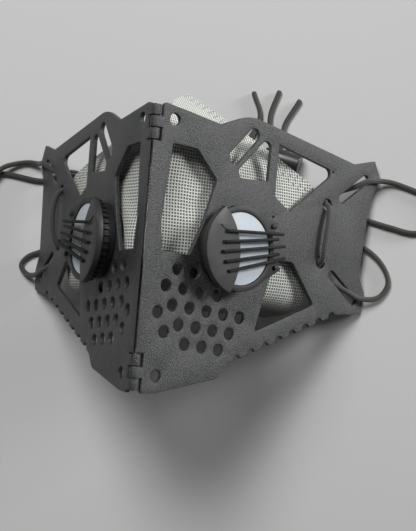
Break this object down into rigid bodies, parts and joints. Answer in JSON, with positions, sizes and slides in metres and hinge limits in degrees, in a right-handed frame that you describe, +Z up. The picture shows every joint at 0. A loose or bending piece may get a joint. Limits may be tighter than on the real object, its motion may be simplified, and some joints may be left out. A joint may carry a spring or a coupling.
{
  "type": "face mask",
  "caption": "Folding techwear face mask: pierced matte plates on a ridge hinge, a white filter cup behind, round finned valves on the cheeks and elastic ear cords with locks.",
  "frame": {"origin": "on the floor, below the middle of the mask without its cords", "axes": "+Z up from the floor to the hinge ridge, +Y along the ridge to the nose end, +X to the cheek on the picture's right"},
  "size_m": [0.2284, 0.1463, 0.0988],
  "materials": {
    "plate": "fine-grained matte",
    "pin": "satin",
    "filter": "embossed nonwoven",
    "valve": "smooth satin",
    "valve_cover": "smooth satin",
    "membrane": "smooth",
    "cord": "woven sheath",
    "lock": "satin"
  },
  "bodies": {
    "root": {"right_plate": "plate", "left_plate": "plate", "hinge_pin_upper": "pin", "hinge_pin_lower": "pin", "filter_insert": "filter", "right_valve_housing": "valve", "right_valve_clamp": "valve", "right_valve_membrane": "membrane", "right_valve_cover": "valve_cover", "right_cord": "cord", "right_cord_lock": "lock", "left_valve_housing": "valve", "left_valve_clamp": "valve", "left_valve_membrane": "membrane", "left_valve_cover": "valve_cover", "left_cord": "cord", "left_cord_lock": "lock"}
  },
  "joints": []
}
